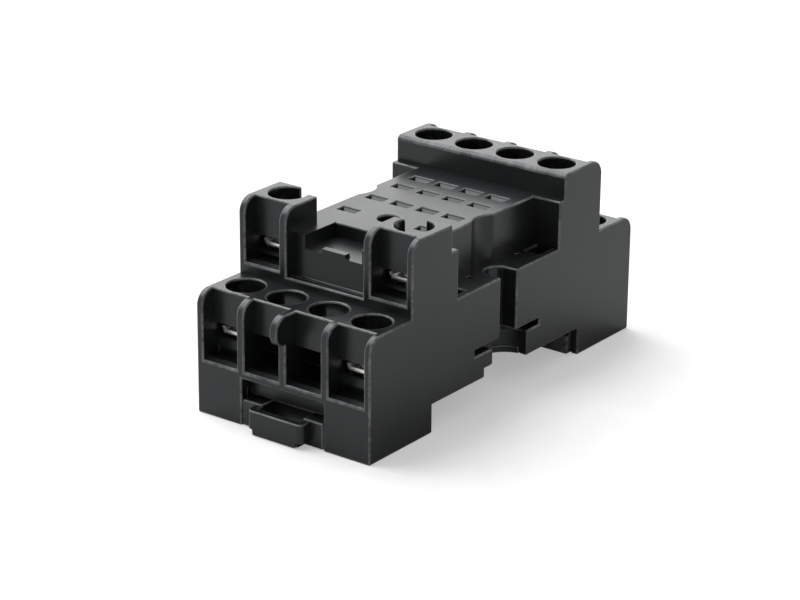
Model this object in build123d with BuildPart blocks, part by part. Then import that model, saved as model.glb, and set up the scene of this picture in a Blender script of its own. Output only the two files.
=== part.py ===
from build123d import *
from math import sqrt
import os

# Plug-in relay socket for a 35 mm rail, with finger-safe screw terminals.
# X is the width, Y runs from the front (latch side) to the rear, Z is up.
# The feet stand on Z = 0 and the origin is the middle of the footprint.

# Overall sizes, mm
WIDTH = 29.5
LENGTH = 62.6
TIER_TOP = 17.7
SEAT_TOP = 24.7
TOWER_TOP = 28.5
TOP_ROUND = 2.2
EDGE_SLOPE = 0.5
NOSE_REACH = 1.8
NOSE_RADIUS = 2.1
NOSE_LOW = 13.4

# Places along the length, measured from the front face
TOWER_FRONT = 9.07
TOWER_BACK = 17.9
TOWER_SHELF_END = 19.4
BLOCK_SHELF_START = 43.6
BLOCK_FRONT = 44.8
BLOCK_BACK = 54.06
SCREW_NOTCH_Y = 31.35

# Rail channel
RAIL_SEAT = 4.1
RAIL_CHANNEL = 35.3
FRONT_FOOT = 13.85
HOOK_LIP = 0.8
HOOK_HEIGHT = 2.8
RAIL_PLAY = 0.3

# Terminal pockets
PITCH = 7.15
POCKET_WALL = 1.25
WELL_RADIUS = 2.7
WELL_SETBACK = 5.65
BAY_DEPTH = 2.4
APRON_THICK = 0.6
CHAMBER_END = 8.2
EMPTY_CHAMBER_END = 7.4
LIFT_TRAVEL = 2.0

# Lower tier and upper tier heights
LOWER_SILL = 7.8
LOWER_APRON = 12.8
LOWER_PAD_TOP = 11.0
UPPER_SILL = 19.3
UPPER_APRON = 22.9
UPPER_PAD_TOP = 21.1
SILL_RISE = 0.45
SILL_DEPTH = 1.1
SHELF_SETBACK = 3.3

# Relay seat
SEAT_HALF_FRONT = 9.75
SEAT_HALF_REAR = 10.2
SCALLOP_RADIUS = 3.75
BLADE_PITCH = 4.4
SLOT_WIDTH = 2.9
SLOT_DEPTH = 1.5
SLOT_LEAD = 0.2
ROW_NC = 39.6
ROW_NO = 35.4
ROW_COM = 29.3
ROW_COIL = 23.0
BLADE_REACH = 7.0
SEAT_SKIN = 1.2
KEY_HOLE_RADIUS = 1.6
KEY_HOLE_Y = 23.45
KEY_HOLE_DEPTH = 8.0

# Recess between the towers
PLATE_HALF = 4.85
PLATE_FLOOR = 22.7
PLATE_BACK = 17.75
BRIDGE_LEDGE = 18.8
BRIDGE_FOOT_Y = 10.1
BRIDGE_HEAD_Y = 11.1
PLATE_NOTCH_WIDTH = 4.0
PLATE_NOTCH_DEPTH = 1.0
PLATE_LIP = 0.35

# Fixing screw notch, its relief and the slit across it
NOTCH_RADIUS = 1.95
NOTCH_CENTRE_X = 12.85
RELIEF_RADIUS = 4.15
RELIEF_CENTRE_X = 14.2
RELIEF_Y = 31.85
SLIT_BOTTOM = 7.85
SLIT_HEIGHT = 0.95
SLIT_START = 23.6
SLIT_END = 39.15
SLIT_CUT = 2.6
STEP_START = 25.95
STEP_HEIGHT = 1.3

# Small openings in the side platforms
VENT_INNER_X = 11.1
VENT_OUTER_X = 13.6
VENT_LENGTH = 3.1
VENT_DEPTH = 6.0
PIT_RADIUS = 0.35
PIT_X = 11.2
PIT_DEPTH = 0.5
PIT_ROWS = (26.9, 38.5)
WELL_SLOT_WIDTH = 2.35
TOWER_STUB_END = 16.0

# Shell and base
SHELL_WALL = 1.2
BASE_TOP = 5.2
BASE_GAP = 0.1
RECESS_HALF = 7.0
RECESS_TOP = 6.8
RECESS_DEPTH = 1.9
CORE_OUT_DEPTH = 3.0
CORE_OUT_RIB = 1.2

# Rail latch
LATCH_REACH = 1.5
LATCH_HALF = 6.75
LATCH_TOP = 3.85
LATCH_BOTTOM = 0.1
LATCH_FACE_Y = 0.4
LATCH_TRAVEL = 2.2
BAR_HALF = 4.7
BAR_TOP = 3.5
BAR_BOTTOM = 0.9
TAB_HALF = 3.7
LOOP_HALF = 3.2
LOOP_START = 0.1
LOOP_END = 1.7
NOSE_HALF = 6.0
NOSE_OVERLAP = 1.2
WING_REACH = 1.3
WING_START = 4.5
WING_END = 11.5
WING_BOTTOM = 1.5
WING_TOP = 2.7
SLIDE_GAP = 0.3
SPRING_POCKET_HALF = 2.6
SPRING_POCKET_START = 4.7
SPRING_POCKET_END = 11.0
SPRING_POCKET_FLOOR = 1.3
SPRING_POST_DEPTH = 1.0
SPRING_HALF = 2.0
SPRING_STRIP = 0.25
SPRING_FOLDS = 5

# Terminal metalwork
SCREW_RADIUS = 1.4
THREAD_GAP = 0.05
HEAD_RADIUS = 2.15
HEAD_HEIGHT = 1.65
SCREW_LENGTH = 5.4
DRIVE_WIDTH = 0.6
DRIVE_LENGTH = 3.0
DRIVE_DEPTH = 0.9
CLAMP_WIDTH = 5.4
CLAMP_DEPTH = 4.4
CLAMP_THICK = 0.7
CLAMP_LIP = 0.8
CLAMP_LIP_THICK = 0.4
CLAMP_HOLE_GAP = 0.25
SEAT_GAP = 0.05
STRIP = 0.7
PAD_WIDTH = 5.0
PAD_DEPTH = 3.6
RIBBON_WIDTH = 2.6
BLADE_GAP = 0.6
BEND_RADIUS = 0.6
CHANNEL_GAP = 0.2
LINK_WIDTH = 1.3
TAIL_POCKET = 3.6

# Worked-out values
HALF = WIDTH / 2
Y0 = -(LENGTH - NOSE_REACH) / 2
POCKET_WIDTH = PITCH - POCKET_WALL
OUTER_X = 1.5 * PITCH
INNER_X = 0.5 * PITCH
RIBBON_X = 1.5 * BLADE_PITCH
REAR_FOOT = FRONT_FOOT + RAIL_CHANNEL
FORK_FOOT = SEAT_TOP - BLADE_REACH - STRIP
FORK_TOP = SEAT_TOP - SEAT_SKIN - 2 * CHANNEL_GAP
FORK_HALF = (BLADE_GAP + STRIP) / 2
SHAFT_HALF = FORK_HALF + STRIP / 2 + CHANNEL_GAP
CHANNEL_HALF = RIBBON_WIDTH / 2 + CHANNEL_GAP
BIG = 100.0


def place(y):
    """Model Y of a place measured from the front face."""
    return Y0 + y


class Tier:
    """One row of terminals: where its face is, which way it looks and how high it sits."""

    def __init__(self, name, face, inward, top, sill, apron, pad_top, columns):
        self.name = name
        self.face = face
        self.inward = inward
        self.top = top
        self.sill = sill
        self.apron = apron
        self.pad_top = pad_top
        self.columns = columns

    def y(self, depth):
        """Model Y at a depth behind the tier's own face."""
        return place(self.face + self.inward * depth)

    def band(self, near, far):
        """Middle and length of the stretch between two depths."""
        return (self.y(near) + self.y(far)) / 2, abs(far - near)

    @property
    def shelf(self):
        return self.pad_top - STRIP

    @property
    def ceiling(self):
        return self.pad_top + SEAT_GAP + CLAMP_THICK + CLAMP_LIP + LIFT_TRAVEL + SLIDE_GAP


ALL_COLUMNS = (-OUTER_X, -INNER_X, INNER_X, OUTER_X)
END_COLUMNS = (-OUTER_X, OUTER_X)
TIERS = (
    Tier("common", 0.0, 1, TIER_TOP, LOWER_SILL, LOWER_APRON, LOWER_PAD_TOP, ALL_COLUMNS),
    Tier("coil", TOWER_FRONT, 1, TOWER_TOP, UPPER_SILL, UPPER_APRON, UPPER_PAD_TOP, END_COLUMNS),
    Tier("closed", BLOCK_BACK, -1, TOWER_TOP, UPPER_SILL, UPPER_APRON, UPPER_PAD_TOP, ALL_COLUMNS),
    Tier("open", LENGTH, -1, TIER_TOP, LOWER_SILL, LOWER_APRON, LOWER_PAD_TOP, ALL_COLUMNS),
)


class Route:
    """The way of one contact from its terminal to its relay slot."""

    def __init__(self, tier, row, link_near, link_far, upper):
        self.tier = tier
        self.row = place(row)
        self.link_near = link_near
        self.link_far = link_far
        self.upper = upper

    @property
    def level(self):
        return self.tier.pad_top - STRIP / 2


BEHIND_CHAMBER = CHAMBER_END + 2 * CHANNEL_GAP
ROUTES = (
    Route(TIERS[0], ROW_COM, BEHIND_CHAMBER, BEHIND_CHAMBER + LINK_WIDTH, False),
    Route(TIERS[1], ROW_COIL, WELL_SETBACK, WELL_SETBACK + LINK_WIDTH, True),
    Route(TIERS[2], ROW_NC, BEHIND_CHAMBER, BEHIND_CHAMBER + LINK_WIDTH, True),
    Route(TIERS[3], ROW_NO, BEHIND_CHAMBER, BEHIND_CHAMBER + LINK_WIDTH, False),
)


def cut_box(x_mid, x_size, y_mid, y_size, low, high):
    """Take a box out of the part that is being built."""
    with BuildSketch(Plane.XY.offset(low)) as outline:
        with Locations((x_mid, y_mid)):
            Rectangle(x_size, y_size)
    extrude(outline.sketch, amount=high - low, mode=Mode.SUBTRACT)


def add_box(x_mid, x_size, y_mid, y_size, low, high):
    """Add a box to the part that is being built."""
    with BuildSketch(Plane.XY.offset(low)) as outline:
        with Locations((x_mid, y_mid)):
            Rectangle(x_size, y_size)
    extrude(outline.sketch, amount=high - low)


def side_profile():
    """Outline of the housing seen from its right side, feet and rail channel included."""
    Line((place(0), 0), (place(0), TIER_TOP - TOP_ROUND))
    RadiusArc((place(0), TIER_TOP - TOP_ROUND), (place(TOP_ROUND), TIER_TOP), TOP_ROUND)
    Polyline(
        (place(TOP_ROUND), TIER_TOP),
        (place(TOWER_FRONT), TIER_TOP),
        (place(TOWER_FRONT), TOWER_TOP - TOP_ROUND),
    )
    RadiusArc(
        (place(TOWER_FRONT), TOWER_TOP - TOP_ROUND),
        (place(TOWER_FRONT + TOP_ROUND), TOWER_TOP),
        TOP_ROUND,
    )
    Polyline(
        (place(TOWER_FRONT + TOP_ROUND), TOWER_TOP),
        (place(TOWER_BACK), TOWER_TOP),
        (place(TOWER_BACK), SEAT_TOP),
        (place(TOWER_SHELF_END), SEAT_TOP),
        (place(TOWER_SHELF_END), TIER_TOP),
        (place(BLOCK_SHELF_START), TIER_TOP),
        (place(BLOCK_SHELF_START), SEAT_TOP),
        (place(BLOCK_FRONT), SEAT_TOP),
        (place(BLOCK_FRONT), TOWER_TOP - EDGE_SLOPE),
        (place(BLOCK_FRONT + EDGE_SLOPE), TOWER_TOP),
        (place(BLOCK_BACK - TOP_ROUND), TOWER_TOP),
    )
    RadiusArc(
        (place(BLOCK_BACK - TOP_ROUND), TOWER_TOP),
        (place(BLOCK_BACK), TOWER_TOP - TOP_ROUND),
        TOP_ROUND,
    )
    Polyline(
        (place(BLOCK_BACK), TOWER_TOP - TOP_ROUND),
        (place(BLOCK_BACK), TIER_TOP),
        (place(LENGTH - TOP_ROUND), TIER_TOP),
    )
    RadiusArc(
        (place(LENGTH - TOP_ROUND), TIER_TOP),
        (place(LENGTH), TIER_TOP - TOP_ROUND),
        TOP_ROUND,
    )
    Polyline(
        (place(LENGTH), TIER_TOP - TOP_ROUND),
        (place(LENGTH), 0),
        (place(REAR_FOOT), 0),
        (place(REAR_FOOT), RAIL_SEAT),
        (place(FRONT_FOOT), RAIL_SEAT),
        (place(FRONT_FOOT), 0),
        (place(0), 0),
    )


def cut_terminal(tier, x):
    """One wire pocket with its bay, apron, clamp chamber, screwdriver well and screw room."""
    mid, size = tier.band(-1, BAY_DEPTH)
    cut_box(x, POCKET_WIDTH, mid, size, tier.sill, tier.top + 1)
    mid, size = tier.band(-1, SHELF_SETBACK)
    cut_box(x, POCKET_WIDTH, mid, size, tier.sill, tier.apron)
    chamber_end = CHAMBER_END if abs(x) == OUTER_X else EMPTY_CHAMBER_END
    mid, size = tier.band(BAY_DEPTH + APRON_THICK, chamber_end)
    cut_box(x, POCKET_WIDTH, mid, size, tier.shelf, tier.ceiling)
    with Locations((x, tier.y(WELL_SETBACK), tier.top)):
        Hole(WELL_RADIUS, depth=tier.top - tier.ceiling + 0.1)
    tail_low = tier.pad_top - SCREW_LENGTH
    cut_box(x, TAIL_POCKET, tier.y(WELL_SETBACK), TAIL_POCKET, tail_low, tier.shelf + 0.1)


def add_sill(tier, x):
    """The small ramp at the mouth of a wire pocket."""
    front = tier.y(0)
    back = tier.y(SILL_DEPTH)
    with BuildSketch(Plane.YZ.offset(x - POCKET_WIDTH / 2)) as ramp:
        with BuildLine():
            Polyline((front, tier.sill), (back, tier.sill), (back, tier.sill + SILL_RISE), close=True)
        make_face()
    extrude(ramp.sketch, amount=POCKET_WIDTH, dir=(1, 0, 0))


def cut_contact_way(route, side):
    """Cavities that one contact lies in, open towards the base."""
    tier = route.tier
    top = tier.pad_top + CHANNEL_GAP
    x = side * RIBBON_X
    mid, size = tier.band(route.link_near - CHANNEL_GAP - 0.3, route.link_far + CHANNEL_GAP)
    inner = RIBBON_X - CHANNEL_HALF
    outer = OUTER_X - CLAMP_WIDTH / 2 + LINK_WIDTH + CHANNEL_GAP
    cut_box(side * (inner + outer) / 2, outer - inner, mid, size, BASE_TOP, top)
    start = tier.y(route.link_near - CHANNEL_GAP)
    cut_box(x, 2 * CHANNEL_HALF, (start + route.row) / 2, abs(start - route.row), BASE_TOP, top)
    cut_box(x, 2 * CHANNEL_HALF, route.row, 2 * SHAFT_HALF, BASE_TOP, SEAT_TOP - SEAT_SKIN)


def cut_slot(x, y, depth):
    """One blade slot in the relay seat, with its small lead-in."""
    cut_box(x, SLOT_WIDTH, y, SLOT_DEPTH, SEAT_TOP - depth, SEAT_TOP + 1)
    with BuildSketch(Plane.XY.offset(SEAT_TOP)) as mouth:
        with Locations((x, y)):
            Rectangle(SLOT_WIDTH + 2 * SLOT_LEAD, SLOT_DEPTH + 2 * SLOT_LEAD)
    with BuildSketch(Plane.XY.offset(SEAT_TOP - SLOT_LEAD)) as throat:
        with Locations((x, y)):
            Rectangle(SLOT_WIDTH, SLOT_DEPTH)
    loft([mouth.sketch, throat.sketch], mode=Mode.SUBTRACT)


# Housing: one moulding with towers, terminal pockets, relay seat and rail channel
with BuildPart() as housing:
    with BuildSketch(Plane.YZ.offset(-HALF)):
        with BuildLine():
            side_profile()
        make_face()
    extrude(amount=WIDTH)

    # Relay seat between the towers and the rear block, scalloped for a screw head
    seat_mid = place((TOWER_SHELF_END + BLOCK_SHELF_START) / 2)
    seat_length = BLOCK_SHELF_START - TOWER_SHELF_END
    with BuildSketch(Plane.XY.offset(TIER_TOP)):
        with Locations((0, seat_mid)):
            Rectangle(2 * SEAT_HALF_REAR, seat_length)
        with Locations((0, place((TOWER_SHELF_END + SCREW_NOTCH_Y) / 2))):
            for side in (-1, 1):
                with Locations((side * (SEAT_HALF_FRONT + SEAT_HALF_REAR) / 2, 0)):
                    Rectangle(
                        SEAT_HALF_REAR - SEAT_HALF_FRONT,
                        SCREW_NOTCH_Y - TOWER_SHELF_END,
                        mode=Mode.SUBTRACT,
                    )
        with Locations((NOTCH_CENTRE_X, place(SCREW_NOTCH_Y)), (-NOTCH_CENTRE_X, place(SCREW_NOTCH_Y))):
            Circle(SCALLOP_RADIUS, mode=Mode.SUBTRACT)
    extrude(amount=SEAT_TOP - TIER_TOP)

    # Space between the two towers, with the sloped front of the bridge
    bridge_half = OUTER_X - POCKET_WIDTH / 2 - POCKET_WALL
    with BuildSketch(Plane.YZ.offset(-bridge_half)):
        with BuildLine():
            Polyline(
                (place(TOWER_FRONT - 1), BRIDGE_LEDGE),
                (place(BRIDGE_FOOT_Y), BRIDGE_LEDGE),
                (place(BRIDGE_HEAD_Y), PLATE_FLOOR),
                (place(BRIDGE_HEAD_Y), SEAT_TOP),
                (place(TOWER_BACK + 0.1), SEAT_TOP),
                (place(TOWER_BACK + 0.1), TOWER_TOP + 1),
                (place(TOWER_FRONT - 1), TOWER_TOP + 1),
                close=True,
            )
        make_face()
    extrude(amount=2 * bridge_half, mode=Mode.SUBTRACT)
    plate_mid = place((BRIDGE_FOOT_Y + PLATE_BACK) / 2)
    cut_box(0, 2 * PLATE_HALF, plate_mid, PLATE_BACK - BRIDGE_FOOT_Y, PLATE_FLOOR, SEAT_TOP + 1)
    lip_mid = place(BRIDGE_HEAD_Y + PLATE_NOTCH_DEPTH + PLATE_LIP / 2)
    add_box(0, PLATE_NOTCH_WIDTH, lip_mid, PLATE_LIP, PLATE_FLOOR, PLATE_FLOOR + PLATE_LIP)
    notch_mid = place(BRIDGE_FOOT_Y + (BRIDGE_HEAD_Y + PLATE_NOTCH_DEPTH - BRIDGE_FOOT_Y) / 2)
    notch_size = BRIDGE_HEAD_Y + PLATE_NOTCH_DEPTH - BRIDGE_FOOT_Y
    cut_box(0, PLATE_NOTCH_WIDTH, notch_mid, notch_size, BRIDGE_LEDGE, PLATE_FLOOR + 1)

    # Terminals
    for tier in TIERS:
        for x in tier.columns:
            cut_terminal(tier, x)
            add_sill(tier, x)

    # Slot in the back wall of each tower, on the side of the middle
    for side in (-1, 1):
        slot_x = side * (OUTER_X - WELL_SLOT_WIDTH / 2)
        slot_start = TOWER_FRONT + WELL_SETBACK
        slot_mid = place((slot_start + TOWER_BACK + 1) / 2)
        cut_box(slot_x, WELL_SLOT_WIDTH, slot_mid, TOWER_BACK + 1 - slot_start, SEAT_TOP, TOWER_TOP + 1)
        stub_reach = OUTER_X - WELL_SLOT_WIDTH
        stub_mid = place((TOWER_STUB_END + TOWER_BACK + 1) / 2)
        stub_cut = TOWER_BACK + 1 - TOWER_STUB_END
        cut_box(side * stub_reach / 2, stub_reach + 0.2, stub_mid, stub_cut, SEAT_TOP, TOWER_TOP + 1)

    # Rounded nose of the middle divider in the front tier
    with BuildSketch(Plane.YZ.offset(-POCKET_WALL / 2)):
        with BuildLine():
            ThreePointArc(
                (place(NOSE_RADIUS - NOSE_REACH), TIER_TOP),
                (place(NOSE_RADIUS * (1 - sqrt(0.5)) - NOSE_REACH), TIER_TOP - NOSE_RADIUS * (1 - sqrt(0.5))),
                (place(-NOSE_REACH), TIER_TOP - NOSE_RADIUS),
            )
            Line((place(-NOSE_REACH), TIER_TOP - NOSE_RADIUS), (place(-NOSE_REACH), NOSE_LOW + NOSE_REACH))
            ThreePointArc(
                (place(-NOSE_REACH), NOSE_LOW + NOSE_REACH),
                (place(-NOSE_REACH * sqrt(0.5)), NOSE_LOW + NOSE_REACH * (1 - sqrt(0.5))),
                (place(0), NOSE_LOW),
            )
            Polyline(
                (place(0), NOSE_LOW),
                (place(TOP_ROUND + 1), NOSE_LOW),
                (place(TOP_ROUND + 1), TIER_TOP),
                (place(NOSE_RADIUS - NOSE_REACH), TIER_TOP),
            )
        make_face()
    extrude(amount=POCKET_WALL)

    # Blade slots; the columns without a contact are blind
    for row in (ROW_NC, ROW_NO, ROW_COM):
        for x in (-BLADE_PITCH / 2, BLADE_PITCH / 2):
            cut_slot(x, place(row), BLADE_REACH)
    for row in (ROW_NC, ROW_NO, ROW_COM, ROW_COIL):
        for x in (-RIBBON_X, RIBBON_X):
            cut_slot(x, place(row), SEAT_SKIN + 0.1)
    with Locations((0, place(KEY_HOLE_Y), SEAT_TOP)):
        Hole(KEY_HOLE_RADIUS, depth=KEY_HOLE_DEPTH)

    # Fixing screw notches, with their relief below and the slit across them
    for side in (-1, 1):
        with BuildSketch(Plane.XY.offset(SLIT_BOTTOM)):
            with Locations((side * NOTCH_CENTRE_X, place(SCREW_NOTCH_Y))):
                Circle(NOTCH_RADIUS)
            with Locations((side * (NOTCH_CENTRE_X + HALF) / 2, place(SCREW_NOTCH_Y))):
                Rectangle(HALF - NOTCH_CENTRE_X + 1, 2 * NOTCH_RADIUS)
            with Locations((side * (HALF + 1), place(SCREW_NOTCH_Y))):
                Rectangle(2, 2 * NOTCH_RADIUS)
        extrude(amount=TIER_TOP - SLIT_BOTTOM, mode=Mode.SUBTRACT)
        with BuildSketch(Plane.XY):
            with Locations((side * RELIEF_CENTRE_X, place(RELIEF_Y))):
                Circle(RELIEF_RADIUS)
        extrude(amount=SLIT_BOTTOM, mode=Mode.SUBTRACT)
        slit_mid = place((SLIT_START + SLIT_END) / 2)
        slit_top = SLIT_BOTTOM + SLIT_HEIGHT
        slit_x = side * (HALF - SLIT_CUT / 2 + 0.5)
        cut_box(slit_x, SLIT_CUT + 1, slit_mid, SLIT_END - SLIT_START, SLIT_BOTTOM, slit_top)
        step_mid = place((STEP_START + RELIEF_Y) / 2)
        step_x = side * (HALF - SHELL_WALL / 2 + 0.5)
        step_top = RAIL_SEAT + STEP_HEIGHT
        cut_box(step_x, SHELL_WALL + 1, step_mid, RELIEF_Y - STEP_START, RAIL_SEAT - 1, step_top)

    # Rectangular openings and small pits in the side platforms
    vent_mid_x = (VENT_INNER_X + VENT_OUTER_X) / 2
    for side in (-1, 1):
        for start in (TOWER_SHELF_END, BLOCK_SHELF_START - VENT_LENGTH):
            vent_mid = place(start + VENT_LENGTH / 2)
            cut_box(
                side * vent_mid_x,
                VENT_OUTER_X - VENT_INNER_X,
                vent_mid,
                VENT_LENGTH,
                TIER_TOP - VENT_DEPTH,
                TIER_TOP + 1,
            )
        for row in PIT_ROWS:
            with Locations((side * PIT_X, place(row), TIER_TOP)):
                Hole(PIT_RADIUS, depth=PIT_DEPTH)

    # Contact ways, then the room for the base and for the latch
    for route in ROUTES:
        for side in (-1, 1):
            cut_contact_way(route, side)
    shell_half = HALF - SHELL_WALL
    inner_front = RECESS_DEPTH + SHELL_WALL
    inner_length = LENGTH - SHELL_WALL - inner_front
    cut_box(0, 2 * shell_half, place(inner_front + inner_length / 2), inner_length, -1, BASE_TOP)
    side_room = shell_half - RECESS_HALF
    for side in (-1, 1):
        side_mid = side * (RECESS_HALF + shell_half) / 2
        room_mid = place((SHELL_WALL + inner_front) / 2)
        cut_box(side_mid, side_room, room_mid, inner_front - SHELL_WALL + 0.1, -1, BASE_TOP)
    cut_box(0, 2 * RECESS_HALF, place((RECESS_DEPTH - 1) / 2), RECESS_DEPTH + 1, -1, RECESS_TOP)
    cut_box(0, 2 * RECESS_HALF, place(inner_front / 2), inner_front, -1, RAIL_SEAT)


# Base: inset plate that closes the housing and carries the fixed rail hook
with BuildPart() as base_plate:
    base_half = HALF - SHELL_WALL - BASE_GAP
    base_start = RECESS_DEPTH + SHELL_WALL + BASE_GAP
    base_end = LENGTH - SHELL_WALL - BASE_GAP
    add_box(0, 2 * base_half, place((base_start + base_end) / 2), base_end - base_start, RAIL_SEAT, BASE_TOP)
    guide_half = LATCH_HALF + SLIDE_GAP
    guide_mid = (guide_half + base_half) / 2
    guide_start = SHELL_WALL + BASE_GAP
    foot_mid = place((guide_start + FRONT_FOOT) / 2)
    front_gap = RECESS_HALF + BASE_GAP
    for side in (-1, 1):
        add_box(
            side * (front_gap + base_half) / 2,
            base_half - front_gap,
            foot_mid,
            FRONT_FOOT - guide_start,
            0,
            BASE_TOP,
        )
        wing_room = WING_REACH + LATCH_HALF + SLIDE_GAP
        groove_end = place(WING_END + SLIDE_GAP)
        groove_start = place(guide_start - 1)
        cut_box(
            side * wing_room / 2,
            wing_room,
            (groove_start + groove_end) / 2,
            groove_end - groove_start,
            WING_BOTTOM - SLIDE_GAP,
            WING_TOP + SLIDE_GAP,
        )
    rear_mid = place((REAR_FOOT + base_end) / 2)
    add_box(0, 2 * base_half, rear_mid, base_end - REAR_FOOT, 0, RAIL_SEAT)
    add_box(0, 2 * base_half, place(REAR_FOOT - HOOK_LIP / 2), HOOK_LIP, 0, HOOK_HEIGHT)
    rear_depth = base_end - REAR_FOOT - 2 * CORE_OUT_RIB
    core_width = (2 * base_half - 5 * CORE_OUT_RIB) / 4
    for column in range(4):
        core_x = (column - 1.5) * (core_width + CORE_OUT_RIB)
        cut_box(core_x, core_width, rear_mid, rear_depth, 0, CORE_OUT_DEPTH)
    for side in (-1, 1):
        with Locations((side * RELIEF_CENTRE_X, place(RELIEF_Y), BASE_TOP)):
            Hole(RELIEF_RADIUS, depth=BASE_TOP)
    post_start = SPRING_POCKET_START + SLIDE_GAP
    post_mid = place(post_start + SPRING_POST_DEPTH / 2)
    post_low = SPRING_POCKET_FLOOR + SLIDE_GAP
    add_box(0, 2 * SPRING_HALF, post_mid, SPRING_POST_DEPTH, post_low, RAIL_SEAT)


# Rail latch: slider with a pull loop in front and a nose that holds the rail
with BuildPart() as rail_latch:
    slab_start = place(LATCH_FACE_Y)
    slab_end = place(FRONT_FOOT - SLIDE_GAP)
    slab_mid = (slab_start + slab_end) / 2
    add_box(0, 2 * LATCH_HALF, slab_mid, slab_end - slab_start, LATCH_BOTTOM, LATCH_TOP)
    wing_mid = place((WING_START + WING_END) / 2)
    wing_span = 2 * (LATCH_HALF + WING_REACH)
    add_box(0, wing_span, wing_mid, WING_END - WING_START, WING_BOTTOM, WING_TOP)
    bar_back = place(LOOP_END + 1)
    with BuildSketch(Plane.XY.offset(BAR_BOTTOM)):
        with Locations((0, (place(-LATCH_REACH) + bar_back) / 2)):
            RectangleRounded(2 * BAR_HALF, bar_back - place(-LATCH_REACH), 0.7)
    extrude(amount=BAR_TOP - BAR_BOTTOM)
    tab_mid = (place(-LATCH_REACH) + slab_start) / 2
    add_box(0, 2 * TAB_HALF, tab_mid, slab_start - place(-LATCH_REACH), LATCH_BOTTOM, BAR_BOTTOM)
    loop_mid = place((LOOP_START + LOOP_END) / 2)
    cut_box(0, 2 * LOOP_HALF, loop_mid, LOOP_END - LOOP_START, BAR_BOTTOM, LATCH_TOP + 1)
    nose_end = FRONT_FOOT + NOSE_OVERLAP
    nose_top = HOOK_HEIGHT - RAIL_PLAY
    with BuildSketch(Plane.YZ.offset(-NOSE_HALF)):
        with BuildLine():
            Polyline(
                (slab_end, LATCH_BOTTOM),
                (place(nose_end - NOSE_OVERLAP), LATCH_BOTTOM),
                (place(nose_end), nose_top - 1),
                (place(nose_end), nose_top),
                (slab_end, nose_top),
                close=True,
            )
        make_face()
    extrude(amount=2 * NOSE_HALF)
    pocket_mid = place((SPRING_POCKET_START + SPRING_POCKET_END) / 2)
    pocket_size = SPRING_POCKET_END - SPRING_POCKET_START
    cut_box(0, 2 * SPRING_POCKET_HALF, pocket_mid, pocket_size, SPRING_POCKET_FLOOR, LATCH_TOP + 1)


# Latch spring: folded steel strip between the base's post and the latch
with BuildPart() as latch_spring:
    spring_start = SPRING_POCKET_START + SLIDE_GAP + SPRING_POST_DEPTH + SPRING_STRIP
    spring_end = SPRING_POCKET_END - SPRING_STRIP
    fold_pitch = (spring_end - spring_start) / SPRING_FOLDS
    fold_half = SPRING_HALF - SPRING_STRIP
    folds = []
    for fold in range(SPRING_FOLDS + 1):
        fold_y = place(spring_start + fold * fold_pitch)
        turn = 1 if fold % 2 else -1
        folds.append((-turn * fold_half, fold_y))
        folds.append((turn * fold_half, fold_y))
    spring_low = SPRING_POCKET_FLOOR + SLIDE_GAP
    with BuildSketch(Plane.XY.offset(spring_low)):
        with BuildLine():
            FilletPolyline(*folds, radius=fold_pitch * 0.45)
        trace(line_width=SPRING_STRIP)
    extrude(amount=LATCH_TOP - SLIDE_GAP - spring_low)


def make_contact(route, side):
    """Stamped strip from a terminal pad to the spring fork under a relay slot."""
    tier = route.tier
    x = side * RIBBON_X
    pad_x = side * OUTER_X
    level = route.level
    inward = tier.inward
    link_mid, link_size = tier.band(route.link_near, route.link_far)
    pad_near = tier.y(WELL_SETBACK - PAD_DEPTH / 2)
    link_far = tier.y(route.link_far)
    inner = RIBBON_X - RIBBON_WIDTH / 2
    outer = OUTER_X - PAD_WIDTH / 2 + LINK_WIDTH
    near_leaf = route.row - inward * FORK_HALF
    far_leaf = route.row + inward * FORK_HALF
    with BuildPart() as contact:
        with BuildSketch(Plane.XY.offset(level - STRIP / 2)):
            with Locations((pad_x, tier.y(WELL_SETBACK))):
                Rectangle(PAD_WIDTH, PAD_DEPTH)
            with Locations((side * (inner + outer) / 2, link_mid)):
                Rectangle(outer - inner, link_size)
            with Locations((side * (outer - LINK_WIDTH / 2), (pad_near + link_far) / 2)):
                Rectangle(LINK_WIDTH, abs(link_far - pad_near))
            with Locations((pad_x, tier.y(WELL_SETBACK))):
                Circle(SCREW_RADIUS + THREAD_GAP, mode=Mode.SUBTRACT)
        extrude(amount=STRIP)
        with BuildSketch(Plane.YZ.offset(x - RIBBON_WIDTH / 2)):
            if route.upper:
                with BuildLine():
                    FilletPolyline(
                        (link_mid, level),
                        (near_leaf, level),
                        (near_leaf, FORK_FOOT),
                        (far_leaf, FORK_FOOT),
                        (far_leaf, FORK_TOP),
                        radius=BEND_RADIUS,
                    )
                trace(line_width=STRIP)
            else:
                with BuildLine():
                    FilletPolyline(
                        (link_mid, level),
                        (near_leaf, level),
                        (near_leaf, FORK_TOP),
                        radius=BEND_RADIUS,
                    )
                trace(line_width=STRIP)
                with BuildLine():
                    FilletPolyline(
                        (near_leaf, FORK_FOOT),
                        (far_leaf, FORK_FOOT),
                        (far_leaf, FORK_TOP),
                        radius=BEND_RADIUS,
                    )
                trace(line_width=STRIP)
        extrude(amount=RIBBON_WIDTH)
    return contact.part


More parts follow.
